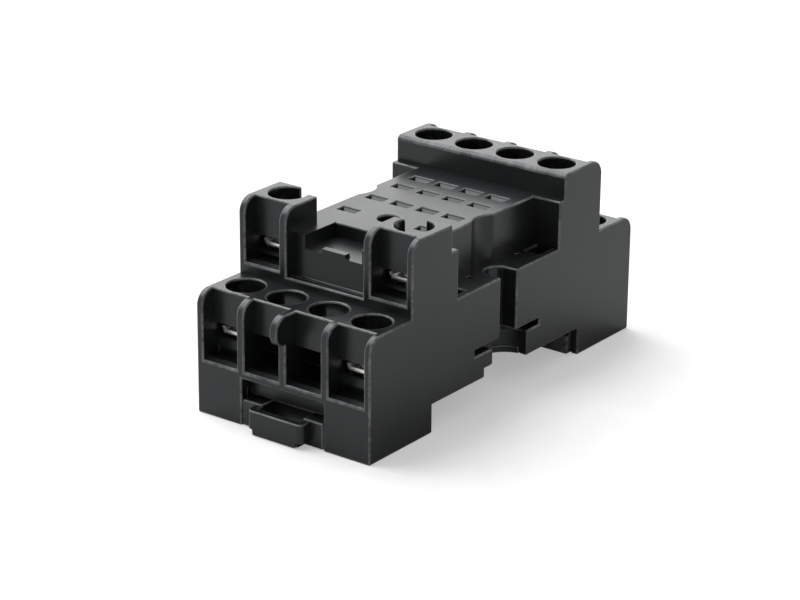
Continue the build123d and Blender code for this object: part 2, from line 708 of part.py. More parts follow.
def make_clamp(tier, side):
    """Square pressure plate with turned-up sides, captive under the screw head."""
    low = tier.pad_top + SEAT_GAP
    with BuildPart() as clamp:
        with BuildSketch(Plane.XY.offset(low)):
            with Locations((side * OUTER_X, tier.y(WELL_SETBACK))):
                Rectangle(CLAMP_WIDTH, CLAMP_DEPTH)
                Circle(SCREW_RADIUS + CLAMP_HOLE_GAP, mode=Mode.SUBTRACT)
        extrude(amount=CLAMP_THICK)
        for edge in (-1, 1):
            lip_x = side * OUTER_X + edge * (CLAMP_WIDTH - CLAMP_LIP_THICK) / 2
            lip_low = low + CLAMP_THICK
            lip_y = tier.y(WELL_SETBACK)
            with BuildSketch(Plane.XY.offset(lip_low)):
                with Locations((lip_x, lip_y)):
                    Rectangle(CLAMP_LIP_THICK, CLAMP_DEPTH)
            extrude(amount=CLAMP_LIP)
    return clamp.part


def make_screw(tier, side):
    """Pan head terminal screw with a crossed drive."""
    under_head = tier.pad_top + 2 * SEAT_GAP + CLAMP_THICK
    top = under_head + HEAD_HEIGHT
    tip = under_head - SCREW_LENGTH
    here = Plane((side * OUTER_X, tier.y(WELL_SETBACK), 0), z_dir=(0, 1, 0), x_dir=(1, 0, 0))
    with BuildPart() as screw:
        with BuildSketch(here):
            with BuildLine():
                Polyline(
                    (0, -tip),
                    (SCREW_RADIUS, -tip),
                    (SCREW_RADIUS, -under_head),
                    (HEAD_RADIUS, -under_head),
                    (HEAD_RADIUS, -top),
                    (0, -top),
                    close=True,
                )
            make_face()
        revolve(axis=Axis((side * OUTER_X, tier.y(WELL_SETBACK), 0), (0, 0, 1)))
        with BuildSketch(Plane.XY.offset(top - DRIVE_DEPTH)):
            with Locations((side * OUTER_X, tier.y(WELL_SETBACK))):
                Rectangle(DRIVE_LENGTH, DRIVE_WIDTH)
                Rectangle(DRIVE_WIDTH, DRIVE_LENGTH)
        extrude(amount=DRIVE_DEPTH, mode=Mode.SUBTRACT)
    return screw.part


def write(name, solid):
    solid.label = name
    export_step(solid, f"parts/{name}.step")


os.makedirs("parts", exist_ok=True)
write("housing", housing.part)
write("base_plate", base_plate.part)
write("rail_latch", rail_latch.part)
write("latch_spring", latch_spring.part)
for route in ROUTES:
    for side, hand in ((-1, "left"), (1, "right")):
        name = f"{route.tier.name}_{hand}"
        write(f"contact_{name}", make_contact(route, side))
        write(f"clamp_{name}", make_clamp(route.tier, side))
        write(f"screw_{name}", make_screw(route.tier, side))
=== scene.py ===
"""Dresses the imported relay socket: moulded edges, plated metalwork, camera and light."""

from __future__ import annotations

import logging
import math
from collections.abc import Callable, Iterator
from contextlib import contextmanager
from dataclasses import dataclass, field
from enum import Enum

import bmesh
import bpy
from mathutils import Matrix, Vector

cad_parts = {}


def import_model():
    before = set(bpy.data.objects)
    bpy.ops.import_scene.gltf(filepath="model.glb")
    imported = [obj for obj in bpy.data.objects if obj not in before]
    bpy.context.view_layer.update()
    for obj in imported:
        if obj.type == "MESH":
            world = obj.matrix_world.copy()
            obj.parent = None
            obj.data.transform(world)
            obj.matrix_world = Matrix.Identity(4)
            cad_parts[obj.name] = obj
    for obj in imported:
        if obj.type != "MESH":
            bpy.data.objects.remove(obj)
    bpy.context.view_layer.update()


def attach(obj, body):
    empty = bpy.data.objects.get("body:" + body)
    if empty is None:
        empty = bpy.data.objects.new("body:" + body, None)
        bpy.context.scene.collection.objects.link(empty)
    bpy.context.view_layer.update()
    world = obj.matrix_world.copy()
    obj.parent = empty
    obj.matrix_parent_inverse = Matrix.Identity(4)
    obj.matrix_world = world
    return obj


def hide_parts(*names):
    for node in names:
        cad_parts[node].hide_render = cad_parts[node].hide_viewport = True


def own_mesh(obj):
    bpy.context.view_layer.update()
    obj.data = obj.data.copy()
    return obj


log = logging.getLogger("relay_socket")

MM = 0.001
TINY = 0.000005
MERGE = 0.000002
NEAR_UPRIGHT = 0.9

# Room that a bevel needs, in bevel widths: across the faces beside an edge, and along the edges
# that its corners slide on.
ROOM = 2.3
SLIDE_ROOM = 1.25
# Face attribute that marks the rounded edges for their pale colour: partly rubbed wear, partly a
# painted highlight.
WEAR_AND_HIGHLIGHT = "worn_edge"

# Y of the front face, X of the outer terminals and depth of the screws behind a tier's face, in mm.
FRONT = -30.4
OUTER_X = 10.725
WELL_SETBACK = 5.65

WHITE = (1.0, 1.0, 1.0, 1.0)
Pair = tuple[float, float]
Triple = tuple[float, float, float]
Box = tuple[Pair, Pair, Pair]


class Hand(Enum):
    """Left or right column of the socket, seen from the latch."""

    LEFT = -1
    RIGHT = 1

    @property
    def label(self) -> str:
        """Name of this side in the node names."""
        return self.name.lower()


class Tier(Enum):
    """One row of terminals: face, way in from the face, heights of the pads and sills, in mm."""

    COMMON = ("common", 0.0, 1, 11.0, 7.8)
    COIL = ("coil", 9.07, 1, 21.1, 19.3)
    CLOSED = ("closed", 54.06, -1, 21.1, 19.3)
    OPEN = ("open", 62.6, -1, 11.0, 7.8)

    def __init__(self, label: str, face: float, inward: int, pad_top: float, sill: float) -> None:
        """Name the values of a row.

        Args:
            label: name of the row in the node names.
            face: Y of the row's face, from the socket's front face.
            inward: sign of Y on the way in from the face.
            pad_top: height of the contact pads.
            sill: height of the pocket floors.
        """
        self.label = label
        self.face = face
        self.inward = inward
        self.pad_top = pad_top
        self.sill = sill

    def y(self, depth: float) -> float:
        """Y in mm at a depth behind this tier's face."""
        return FRONT + self.face + self.inward * depth


class Sock:
    """A socket of a shader node that can be used in arithmetic."""

    def __init__(self, tree: Tree, socket: bpy.types.NodeSocket) -> None:
        """Wrap one output of a tree."""
        self.tree = tree
        self.socket = socket

    def math(self, operation: str, other: object) -> Sock:
        """Math node on this value and another."""
        return self.tree.add("ShaderNodeMath", {"operation": operation}, {0: self, 1: other})

    def __add__(self, other: object) -> Sock:
        """Sum of both values."""
        return self.math("ADD", other)

    __radd__ = __add__

    def __sub__(self, other: object) -> Sock:
        """This value less the other."""
        return self.math("SUBTRACT", other)

    def __mul__(self, other: object) -> Sock:
        """Product of both values."""
        return self.math("MULTIPLY", other)

    def larger(self, other: object) -> Sock:
        """The larger of both values."""
        return self.math("MAXIMUM", other)

    def clamped(self) -> Sock:
        """This value held between 0 and 1."""
        return self.tree.add("ShaderNodeClamp", {}, {"Value": self})


class Tree:
    """Node tree of a material or of the world."""

    def __init__(self, nodes: bpy.types.NodeTree, output: str) -> None:
        """Empty the tree and give it an output.

        Args:
            nodes: Blender's tree.
            output: Blender's name of the output node's type.
        """
        self.tree = nodes
        self.tree.nodes.clear()
        self.output = self.tree.nodes.new(output)

    def add(
        self, kind: str, settings: dict[str, object], sockets: dict[object, object], out: object = 0
    ) -> Sock:
        """Add one node.

        Args:
            kind: Blender's name of the node type.
            settings: properties, set before the sockets.
            sockets: value, or Sock to link, of each input by name or number.
            out: name or number of the output to hand back.

        Returns:
            The chosen output.
        """
        node = self.tree.nodes.new(kind)
        for key, value in settings.items():
            setattr(node, key, value)
        for key, value in sockets.items():
            self.feed(node.inputs[key], value)
        return Sock(self, node.outputs[out])

    def feed(self, target: bpy.types.NodeSocket, value: object) -> None:
        """Link a Sock to an input, or set the input's own value.

        Args:
            target: the input.
            value: a Sock, or the value itself.
        """
        if isinstance(value, Sock):
            self.tree.links.new(value.socket, target)
        else:
            target.default_value = value

    def close(self, shader: Sock) -> None:
        """Lead a shader to the output."""
        self.feed(self.output.inputs["Surface"], shader)

    def light_path(self, ray: str) -> Sock:
        """1 for one kind of ray, such as "Is Camera Ray", and 0 for others."""
        return self.add("ShaderNodeLightPath", {}, {}, ray)

    def choose(self, factor: Sock, first: Sock, second: Sock) -> Sock:
        """Mix of two shaders."""
        return self.add("ShaderNodeMixShader", {}, {0: factor, 1: first, 2: second})

    def noise(self, scale: float, detail: float, rough: float, vector: Sock | None = None) -> Sock:
        """Noise value.

        Args:
            scale: features per metre.
            detail: octaves.
            rough: share of the finer octaves.
            vector: where it is read; the object coordinates if left out.

        Returns:
            The noise value, mostly near 0.5.
        """
        where = vector or self.coords()
        sockets = {"Vector": where, "Scale": scale, "Detail": detail, "Roughness": rough}
        return self.add("ShaderNodeTexNoise", {}, sockets)

    def coords(self) -> Sock:
        """Object coordinates."""
        return self.add("ShaderNodeTexCoord", {}, {}, "Object")

    def ramp(self, value: Sock, low: float, high: float) -> Sock:
        """Value stretched so that low becomes 0 and high becomes 1."""
        sockets = {"Value": value, "From Min": low, "From Max": high, "To Min": 0.0, "To Max": 1.0}
        return self.add("ShaderNodeMapRange", {"clamp": True}, sockets)

    def mix(self, factor: object, first: object, second: object) -> Sock:
        """Colour mix."""
        settings = {"data_type": "RGBA", "clamp_factor": True}
        return self.add("ShaderNodeMix", settings, {0: factor, 6: first, 7: second}, 2)

    def bump(self, height: Sock, distance: float, strength: float) -> Sock:
        """Bump normal from a height value."""
        sockets = {"Height": height, "Distance": distance, "Strength": strength}
        return self.add("ShaderNodeBump", {}, sockets)


class MaterialTree(Tree):
    """Node tree of one material around a Principled shader."""

    def __init__(self, name: str) -> None:
        """Start the material.

        Args:
            name: name of the material.
        """
        self.material = bpy.data.materials.new(name)
        self.material.use_nodes = True
        super().__init__(self.material.node_tree, "ShaderNodeOutputMaterial")
        self.shader = self.tree.nodes.new("ShaderNodeBsdfPrincipled")
        self.surface = Sock(self, self.shader.outputs["BSDF"])
        self.close(self.surface)

    def principled(self, sockets: dict[str, object]) -> bpy.types.Material:
        """Fill the shader's inputs.

        Args:
            sockets: value or Sock of each input by name.

        Returns:
            The finished material.
        """
        for key, value in sockets.items():
            self.feed(self.shader.inputs[key], value)
        return self.material


def rgba(colour: Triple, factor: float = 1.0) -> tuple[float, float, float, float]:
    """Colour with alpha, made lighter or darker by a factor."""
    return (colour[0] * factor, colour[1] * factor, colour[2] * factor, 1.0)


@dataclass(frozen=True)
class MouldedPlastic:
    """Filled thermoplastic with a fine spark-eroded texture and paler edges: partly rubbed wear,
    partly a painted highlight.
    """

    name: str
    colour: Triple
    roughness: float = 0.31
    worn: Triple = (0.140, 0.143, 0.147)
    dark: float = 0.90
    light: float = 1.10
    flow_light: float = 1.22
    flow_share: float = 0.35
    grain: float = 9000.0
    grain_depth: float = 0.00002
    relief: float = 0.22
    least_wear: float = 0.25
    fine_roughness: float = 0.12
    cloud_roughness: float = 0.14
    ior: float = 1.49
    tint: Triple = (0.94, 0.98, 1.0)

    def wear_and_highlight(self, tree: MaterialTree) -> Sock:
        """How far the rounded edges are painted pale: partly rubbed wear, partly a painted
        highlight.

        Args:
            tree: the material's tree.

        Returns:
            The share of the pale edge colour, wear and painted highlight, 0 away from the edges.
        """
        edge = tree.add("ShaderNodeAttribute", {"attribute_name": WEAR_AND_HIGHLIGHT}, {}, "Fac")
        rubbed_and_highlit = tree.ramp(tree.noise(scale=330.0, detail=3.0, rough=0.6), low=0.32, high=0.62)
        chipped_and_highlit = tree.ramp(tree.noise(scale=1500.0, detail=2.0, rough=0.6), low=0.20, high=0.55)
        return edge * (rubbed_and_highlit * (1.0 - self.least_wear) + self.least_wear) * chipped_and_highlit

    def build(self) -> bpy.types.Material:
        """Make the material.

        Returns:
            The material.
        """
        tree = MaterialTree(self.name)
        fine = tree.noise(scale=self.grain, detail=4.0, rough=0.6)
        cloud = tree.noise(scale=160.0, detail=3.0, rough=0.55)
        flow = tree.ramp(tree.noise(scale=45.0, detail=2.0, rough=0.5), low=0.4, high=0.75)
        dark, light = rgba(self.colour, self.dark), rgba(self.colour, self.light)
        shade = tree.mix(tree.ramp(cloud, low=0.35, high=0.68), dark, light)
        shade = tree.mix(flow * self.flow_share, shade, rgba(self.colour, self.flow_light))
        # Pale rounded edges: partly rubbed wear, partly a painted highlight where the edges catch
        # light.
        shade = tree.mix(self.wear_and_highlight(tree), shade, rgba(self.worn))
        uneven = (fine - 0.5) * self.fine_roughness
        rough = self.roughness + uneven + (cloud - 0.5) * self.cloud_roughness
        return tree.principled({
            "Base Color": shade,
            "Roughness": rough.clamped(),
            "Normal": tree.bump(fine, self.grain_depth, self.relief),
            "IOR": self.ior,
            "Specular IOR Level": 0.50,
            "Specular Tint": rgba(self.tint),
        })


@dataclass(frozen=True)
class PlatedMetal:
    """Plated or bare metal with rolling marks and slight tarnish."""

    name: str
    colour: Triple
    tarnish: Triple
    roughness: float = 0.26
    tarnish_share: float = 0.5
    spot_share: float = 0.25
    spot_shade: float = 0.8
    stretch: Triple = (1.0, 12.0, 1.0)
    grain: float = 2600.0
    grain_depth: float = 0.00001
    relief: float = 0.25
    line_roughness: float = 0.22
    cloud_roughness: float = 0.10

    def build(self) -> bpy.types.Material:
        """Make the material.

        Returns:
            The material.
        """
        tree = MaterialTree(self.name)
        place = {"Vector": tree.coords(), "Scale": self.stretch}
        drawn = tree.add("ShaderNodeMapping", {}, place)
        lines = tree.noise(scale=self.grain, detail=3.0, rough=0.6, vector=drawn)
        cloud = tree.noise(scale=700.0, detail=4.0, rough=0.6)
        spots = tree.ramp(tree.noise(scale=1500.0, detail=2.0, rough=0.5), low=0.62, high=0.74)
        dull = tree.ramp(cloud, low=0.42, high=0.75) * self.tarnish_share
        shade = tree.mix(dull, rgba(self.colour), rgba(self.tarnish))
        shade = tree.mix(spots * self.spot_share, shade, rgba(self.tarnish, self.spot_shade))
        uneven = (lines - 0.5) * self.line_roughness
        rough = self.roughness + uneven + tree.ramp(cloud, low=0.4, high=0.8) * self.cloud_roughness
        return tree.principled({
            "Base Color": shade,
            "Roughness": rough.clamped(),
            "Metallic": 1.0,
            "Normal": tree.bump(lines, self.grain_depth, self.relief),
        })


@dataclass
class Finishes:
    """All materials of the socket, made once."""

    housing: bpy.types.Material = field(init=False)
    base: bpy.types.Material = field(init=False)
    latch: bpy.types.Material = field(init=False)
    spring: bpy.types.Material = field(init=False)
    contact: bpy.types.Material = field(init=False)
    clamp: bpy.types.Material = field(init=False)
    screw: bpy.types.Material = field(init=False)

    def __post_init__(self) -> None:
        """Make every material."""
        plastic, metal = MouldedPlastic, PlatedMetal
        satin = 0.34
        self.housing = plastic("moulded_housing", (0.0070, 0.0077, 0.0083)).build()
        self.base = plastic("moulded_base", (0.0066, 0.0072, 0.0077)).build()
        self.latch = plastic("moulded_latch", (0.0068, 0.0074, 0.0079), satin).build()
        self.spring = metal("spring_steel", (0.62, 0.62, 0.61), (0.42, 0.40, 0.36)).build()
        brass, dull_brass = (0.46, 0.40, 0.27), (0.30, 0.24, 0.14)
        self.contact = metal("contact_strip", brass, dull_brass, satin).build()
        self.clamp = metal("clamp_plating", (0.92, 0.92, 0.90), (0.58, 0.56, 0.50)).build()
        # The screw steel is darker than the clamp plating: painted shade, so the heads stay dim
        # deep in their wells.
        steel, dull_steel = (0.34, 0.335, 0.32), (0.20, 0.19, 0.17)
        self.screw = metal("screw_plating", steel, dull_steel, satin).build()


@contextmanager
def editing() -> Iterator[None]:
    """Edit mode for the active object, and back to object mode."""
    bpy.ops.object.mode_set(mode="EDIT")
    yield
    bpy.ops.object.mode_set(mode="OBJECT")


def deselect() -> None:
    """Leave nothing selected."""
    for thing in bpy.context.selected_objects:
        thing.select_set(False)


def activate(thing: bpy.types.Object) -> None:
    """Make one object the only selected and the active one.

    Args:
        thing: the object.
    """
    deselect()
    thing.select_set(True)
    bpy.context.view_layer.objects.active = thing


def duplicate(source: bpy.types.Object, name: str) -> bpy.types.Object:
    """Copy an object with a mesh of its own and make the copy active.

    Args:
        source: the object to copy.
        name: name of the copy.

    Returns:
        The copy.
    """
    piece = bpy.data.objects.new(name, source.data.copy())
    bpy.context.scene.collection.objects.link(piece)
    activate(piece)
    return piece


def give(thing: bpy.types.Object, material: bpy.types.Material) -> None:
    """Put one material on the whole object.

    Args:
        thing: the object.
        material: its finish.
    """
    thing.data.materials.clear()
    thing.data.materials.append(material)


def hand_over(
    piece: bpy.types.Object, material: bpy.types.Material, body: str, node: str
) -> None:
    """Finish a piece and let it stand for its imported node.

    Args:
        piece: the finished shape.
        material: its finish.
        body: body that it moves with.
        node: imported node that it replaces.
    """
    give(piece, material)
    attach(piece, body)
    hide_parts(node)
    log.info("piece %s", piece.name)


def select_where(thing: bpy.types.Object, kind: str, test: Callable[[object], bool]) -> None:
    """Select the elements of an object in edit mode that pass a test.

    Args:
        thing: object in edit mode.
        kind: "faces", "edges" or "verts".
        test: gets the element and says whether it is wanted.
    """
    modes = {"faces": "FACE", "edges": "EDGE", "verts": "VERT"}
    bpy.ops.mesh.select_mode(type=modes[kind])
    bpy.ops.mesh.select_all(action="DESELECT")
    mesh = bmesh.from_edit_mesh(thing.data)
    for part in [part for part in getattr(mesh, kind) if test(part)]:
        part.select_set(True)
    mesh.select_flush_mode()
    bmesh.update_edit_mesh(thing.data)


def merge_close() -> None:
    """Merge the vertices that lie in one place; needs edit mode."""
    bpy.ops.mesh.select_all(action="SELECT")
    bpy.ops.mesh.remove_doubles(threshold=MERGE)


def combine(thing: bpy.types.Object, others: list[bpy.types.Object], operation: str) -> None:
    """Join other solids to a piece or cut them out of it, and remove them.

    Args:
        thing: the piece.
        others: solids that don't touch each other.
        operation: "UNION" or "DIFFERENCE".
    """
    deselect()
    for other in others:
        other.select_set(True)
    bpy.context.view_layer.objects.active = others[0]
    if len(others) > 1:
        bpy.ops.object.join()
    tool = bpy.context.view_layer.objects.active
    activate(thing)
    modifier = thing.modifiers.new("solid", "BOOLEAN")
    modifier.operation = operation
    modifier.solver = "EXACT"
    modifier.object = tool
    bpy.ops.object.modifier_apply(modifier="solid")
    activate(tool)
    bpy.ops.object.delete()
    activate(thing)


def cuboid(middle: Vector, size: Triple | Vector) -> bpy.types.Object:
    """Upright cuboid.

    Args:
        middle: its middle, in metres.
        size: its three sizes, in metres.

    Returns:
        The cuboid, its origin in its middle.
    """
    deselect()
    bpy.ops.mesh.primitive_cube_add(size=1.0, scale=size, location=middle)
    bpy.ops.object.transform_apply(location=False, rotation=False, scale=True)
    return bpy.context.active_object


def block(xs: Pair, ys: Pair, zs: Pair) -> bpy.types.Object:
    """Cuboid between two corners, in mm, with y measured from the front face.

    Args:
        xs: two values of X.
        ys: two values of Y.
        zs: two values of Z.

    Returns:
        The cuboid.
    """
    low = Vector((min(xs), min(ys) + FRONT, min(zs))) * MM
    high = Vector((max(xs), max(ys) + FRONT, max(zs))) * MM
    return cuboid((low + high) / 2, high - low)


def lean(
    thing: bpy.types.Object, test: Callable[[object], bool], move: Triple
) -> bpy.types.Object:
    """Shift the vertices of the active object that pass a test.

    Args:
        thing: the object.
        test: gets a vertex and says whether it moves.
        move: the shift, in mm.

    Returns:
        The same object.
    """
    with editing():
        select_where(thing, "verts", test)
        bpy.ops.transform.translate(value=Vector(move) * MM)
    return thing


@dataclass
class Dressed:
    """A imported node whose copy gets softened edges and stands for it, sizes in mm and degrees."""

    node: str
    body: str
    slot: str
    edge: float
    small_edge: float = 0.0
    segments: tuple[int, int] = (3, 2)
    sharp: float = 42.0
    flat: float = 0.5
    smooth: float = 40.0
    suffix: str = "moulded"

    def shape(self, piece: bpy.types.Object) -> None:
        """Change the shape before the edges are rounded; most nodes stay as they are."""

    def has_room(self, edge: bmesh.types.BMEdge, width: float) -> bool:
        """Whether an edge is sharp, points outwards and lies between faces wide enough to round.

        Args:
            edge: the edge.
            width: bevel width, in metres.

        Returns:
            True where the edge may be rounded.
        """
        if len(edge.link_faces) != 2 or not edge.is_convex:
            return False
        if edge.calc_face_angle(0.0) < math.radians(self.sharp):
            return False
        start = edge.verts[0].co
        along = (edge.verts[1].co - start).normalized()
        for face in edge.link_faces:
            steps = [corner.co - start for corner in face.verts]
            if max((step - along * step.dot(along)).length for step in steps) < ROOM * width:
                return False
        return True

    def edges_with_room(self, mesh: bmesh.types.BMesh, width: float) -> set[int]:
        """Edges that can be rounded without running over their short neighbours.

        Args:
            mesh: the mesh being edited.
            width: bevel width, in metres.

        Returns:
            The numbers of the edges.
        """
        good = {edge for edge in mesh.edges if self.has_room(edge, width)}
        tight = True
        while tight:
            tight = {
                edge
                for edge in good
                for corner in edge.verts
                for other in corner.link_edges
                if other not in good and other.calc_length() < SLIDE_ROOM * width
            }
            good -= tight
        return {edge.index for edge in good}

    def round_edges(self, piece: bpy.types.Object, width: float, segments: int) -> None:
        """Round every sharp outer edge that has room for it, and mark the new faces for the pale
        edge colour: partly wear, partly a painted highlight.

        Args:
            piece: object in edit mode.
            width: bevel width, in metres.
            segments: faces across the bevel.
        """
        mesh = bmesh.from_edit_mesh(piece.data)
        mesh.normal_update()
        wanted = self.edges_with_room(mesh, width)
        select_where(piece, "edges", lambda e: e.index in wanted)
        bpy.ops.mesh.bevel(
            offset=width, segments=segments, affect="EDGES", clamp_overlap=False, miter_outer="ARC"
        )
        mesh = bmesh.from_edit_mesh(piece.data)
        worn = mesh.faces.layers.float.get(WEAR_AND_HIGHLIGHT) or mesh.faces.layers.float.new(WEAR_AND_HIGHLIGHT)
        for face in mesh.faces:
            if face.select:
                face[worn] = 1.0
        bmesh.update_edit_mesh(piece.data)

    def part_flats(self, piece: bpy.types.Object) -> None:
        """Mark the borders of the rounded edges sharp, so that flat walls shade flat.

        Args:
            piece: object in edit mode.
        """
        mesh = bmesh.from_edit_mesh(piece.data)
        worn = mesh.faces.layers.float.get(WEAR_AND_HIGHLIGHT)
        if worn is None:
            return
        sides = {e.index: {face[worn] > 0.5 for face in e.link_faces} for e in mesh.edges}
        select_where(piece, "edges", lambda e: len(sides[e.index]) == 2)
        bpy.ops.mesh.mark_sharp()

    def build(self, material: bpy.types.Material) -> bpy.types.Object:
        """Copy the node, merge its triangles, round its edges and dress it.

        Args:
            material: finish of the piece.

        Returns:
            The finished piece.
        """
        piece = duplicate(bpy.data.objects[self.node], f"{self.node}_{self.suffix}")
        with editing():
            merge_close()
            bpy.ops.mesh.dissolve_limited(angle_limit=math.radians(self.flat))
        self.shape(piece)
        activate(piece)
        with editing():
            for width, segments in zip((self.edge, self.small_edge), self.segments):
                if width > 0:
                    self.round_edges(piece, width * MM, segments)
            self.part_flats(piece)
        bpy.ops.object.shade_smooth_by_angle(angle=math.radians(self.smooth))
        weighted = piece.modifiers.new("flat_faces", "WEIGHTED_NORMAL")
        weighted.keep_sharp = True
        weighted.weight = 100
        bpy.ops.object.modifier_apply(modifier="flat_faces")
        hand_over(piece, material, self.body, self.node)
        return piece


@dataclass
class Housing(Dressed):
    """The big moulding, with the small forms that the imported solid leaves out, sizes in mm.

    The rooms below the terminal shelves are given as three depths behind the face: where they
    start, where they end at the shelf and where they end at the pocket's floor.
    """

    pocket_half: float = 2.93
    inner_x: float = 3.575
    empty_room: Triple = (3.2, 3.32, 7.35)
    full_room: Triple = (3.2, 3.32, 3.82)
    shelf_drop: float = 0.68
    overlap: float = 0.01
    inside: Pair = (1.3, 8.6)
    inside_below: float = 3.0
    inside_above: float = 3.9
    slot_rows: tuple[float, ...] = (23.0, 29.3, 35.4, 39.6)
    slot_columns: Pair = (2.2, 6.6)
    closed_slot: Pair = (23.0, 2.2)
    slot_half: float = 1.50
    slot_wall: float = 0.85
    slot_throat: float = 0.3
    ramp_zs: Pair = (23.7, 24.58)
    ramp_slope: float = 0.55
    bridge_fill: Box = ((-2.05, 2.05), (10.35, 12.3), (18.7, 22.7))
    floor_cut: Box = ((-2.2, 2.2), (12.0, 12.8), (22.72, 23.6))
    tab: Box = ((-2.0, 2.0), (10.5, 12.1), (22.5, 23.35))
    bridge_cut: Box = ((-6.5, 6.5), (8.8, 11.1), (18.82, 25.5))

    def has_room(self, edge: bmesh.types.BMEdge, width: float) -> bool:
        """As for other pieces, but the edges inside the terminal chambers stay as they are,
        unrounded and without the pale painted edge highlight.

        Args:
            edge: the edge.
            width: bevel width, in metres.

        Returns:
            True where the edge may be rounded.
        """
        middle = (edge.verts[0].co + edge.verts[1].co) / (2 * MM)
        for tier in Tier:
            depth = (middle.y - FRONT - tier.face) * tier.inward
            low, high = tier.sill - self.inside_below, tier.pad_top + self.inside_above
            if self.inside[0] < depth < self.inside[1] and low < middle.z < high:
                return False
        return super().has_room(edge, width)

    def undercut(self, tier: Tier, x: float, room: Triple) -> bpy.types.Object:
        """Cutter for the room below the shelf of a terminal.

        Args:
            tier: row of the terminal.
            x: middle of its pocket.
            room: the three depths of the room.

        Returns:
            The cutter.
        """
        start, top, foot = room
        cutter = block(
            (x - self.pocket_half, x + self.pocket_half),
            (tier.face + tier.inward * start, tier.face + tier.inward * top),
            (tier.sill - self.overlap, tier.pad_top - self.shelf_drop),
        )
        move = (0.0, tier.inward * (foot - top), 0.0)
        return lean(cutter, lambda v: v.co.z < 0 and v.co.y * tier.inward > 0, move)

    def pockets(self) -> list[bpy.types.Object]:
        """Rooms below the shelves: shallow where a contact lies on them, deep where they are empty.

        Returns:
            The cutters.
        """
        cutters = []
        for tier in Tier:
            for hand in Hand:
                if tier is not Tier.COIL:
                    cutters.append(self.undercut(tier, hand.value * self.inner_x, self.empty_room))
                cutters.append(self.undercut(tier, hand.value * OUTER_X, self.full_room))
        return cutters

    def slot_ramp(self, x: float, row: float, way: int) -> bpy.types.Object:
        """Sloped wall that narrows one side of a blade slot to its throat.

        Args:
            x: middle of the slot.
            row: Y of the slot from the front face.
            way: 1 for the rear wall, -1 for the front wall.

        Returns:
            The ramp.
        """
        ys = (row + way * self.slot_wall, row + way * self.slot_throat)
        ramp = block((x - self.slot_half, x + self.slot_half), ys, self.ramp_zs)
        move = (0.0, 0.0, -self.ramp_slope)
        return lean(ramp, lambda v: v.co.z > 0 and v.co.y * way < 0, move)

    def slot_ramps(self) -> list[bpy.types.Object]:
        """Sloped walls of all blade slots.

        Returns:
            The ramps, two for each slot.
        """
        slots = [(row, column) for row in self.slot_rows for column in self.slot_columns]
        return [
            self.slot_ramp(hand.value * column, row, way)
            for row, column in slots
            if (row, column) != self.closed_slot
            for hand in Hand
            for way in (-1, 1)
        ]

    def shape(self, piece: bpy.types.Object) -> None:
        """Straighten the bridge, give the slots their ramps and cut the pockets free.

        Args:
            piece: the housing.
        """
        combine(piece, [block(*self.bridge_fill)], "UNION")
        combine(piece, [block(*self.floor_cut)], "DIFFERENCE")
        combine(piece, [block(*self.tab), *self.slot_ramps()], "UNION")
        combine(piece, [block(*self.bridge_cut), *self.pockets()], "DIFFERENCE")


@dataclass
class Contact(Dressed):
    """A contact strip whose pad is chamfered below its front edge, sizes in mm."""

    suffix: str = "formed"
    tier: Tier = Tier.COMMON
    nose_depth: float = 3.85
    half_pad: float = 0.5
    face_band: float = 0.1
    chamfer: float = 0.45

    def shape(self, piece: bpy.types.Object) -> None:
        """Draw the lower front edge of the pad back.

        Args:
            piece: the contact.
        """
        front = self.tier.y(self.nose_depth) * MM
        low = (self.tier.pad_top - self.half_pad) * MM
        lean(
            piece,
            lambda v: abs(v.co.y - front) < self.face_band * MM and v.co.z < low,
            (0.0, self.tier.inward * self.chamfer, 0.0),
        )


@dataclass
class Spring(Dressed):
    """The latch spring, pressed against the base when the latch is pulled, sizes in mm."""

    suffix: str = "formed"
    latch_end: float = 10.875
    free_length: float = 4.75
    travel: float = 2.2

    def build(self, material: bpy.types.Material) -> bpy.types.Object:
        """Dress the spring and give it a mesh of its own.

        Args:
            material: finish of the spring.

        Returns:
            The finished spring.
        """
        piece = super().build(material)
        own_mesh(piece)
        return piece


@dataclass
class Latch(Dressed):
    """The rail latch with its rounded pull bar and the loop behind it, sizes in mm."""

    face: Box = ((-6.85, 6.85), (0.1, 0.9), (0.12, 3.84))
    bar: Box = ((-4.7, 4.7), (-1.8, 0.6), (0.9, 3.6))
    tab: Box = ((-3.68, 3.68), (-1.8, 0.5), (0.12, 0.95))
    loop: Box = ((-3.5, 3.5), (-0.6, 2.7), (0.93, 5.0))
    corner: float = 0.9

    def pull_bar(self) -> bpy.types.Object:
        """The bar, with rounded front corners.

        Returns:
            The bar.
        """
        bar = block(*self.bar)
        with editing():
            select_where(
                bar,
                "edges",
                lambda e: all(v.co.y < 0 for v in e.verts)
                and abs(e.verts[0].co.z - e.verts[1].co.z) > MM,
            )
            bpy.ops.mesh.bevel(offset=self.corner * MM, segments=6, affect="EDGES")
        return bar

    def shape(self, piece: bpy.types.Object) -> None:
        """Bring the face and the bar forward and open the loop behind the bar.

        Args:
            piece: the latch.
        """
        for part in (block(*self.face), self.pull_bar(), block(*self.tab)):
            combine(piece, [part], "UNION")
        combine(piece, [block(*self.loop)], "DIFFERENCE")


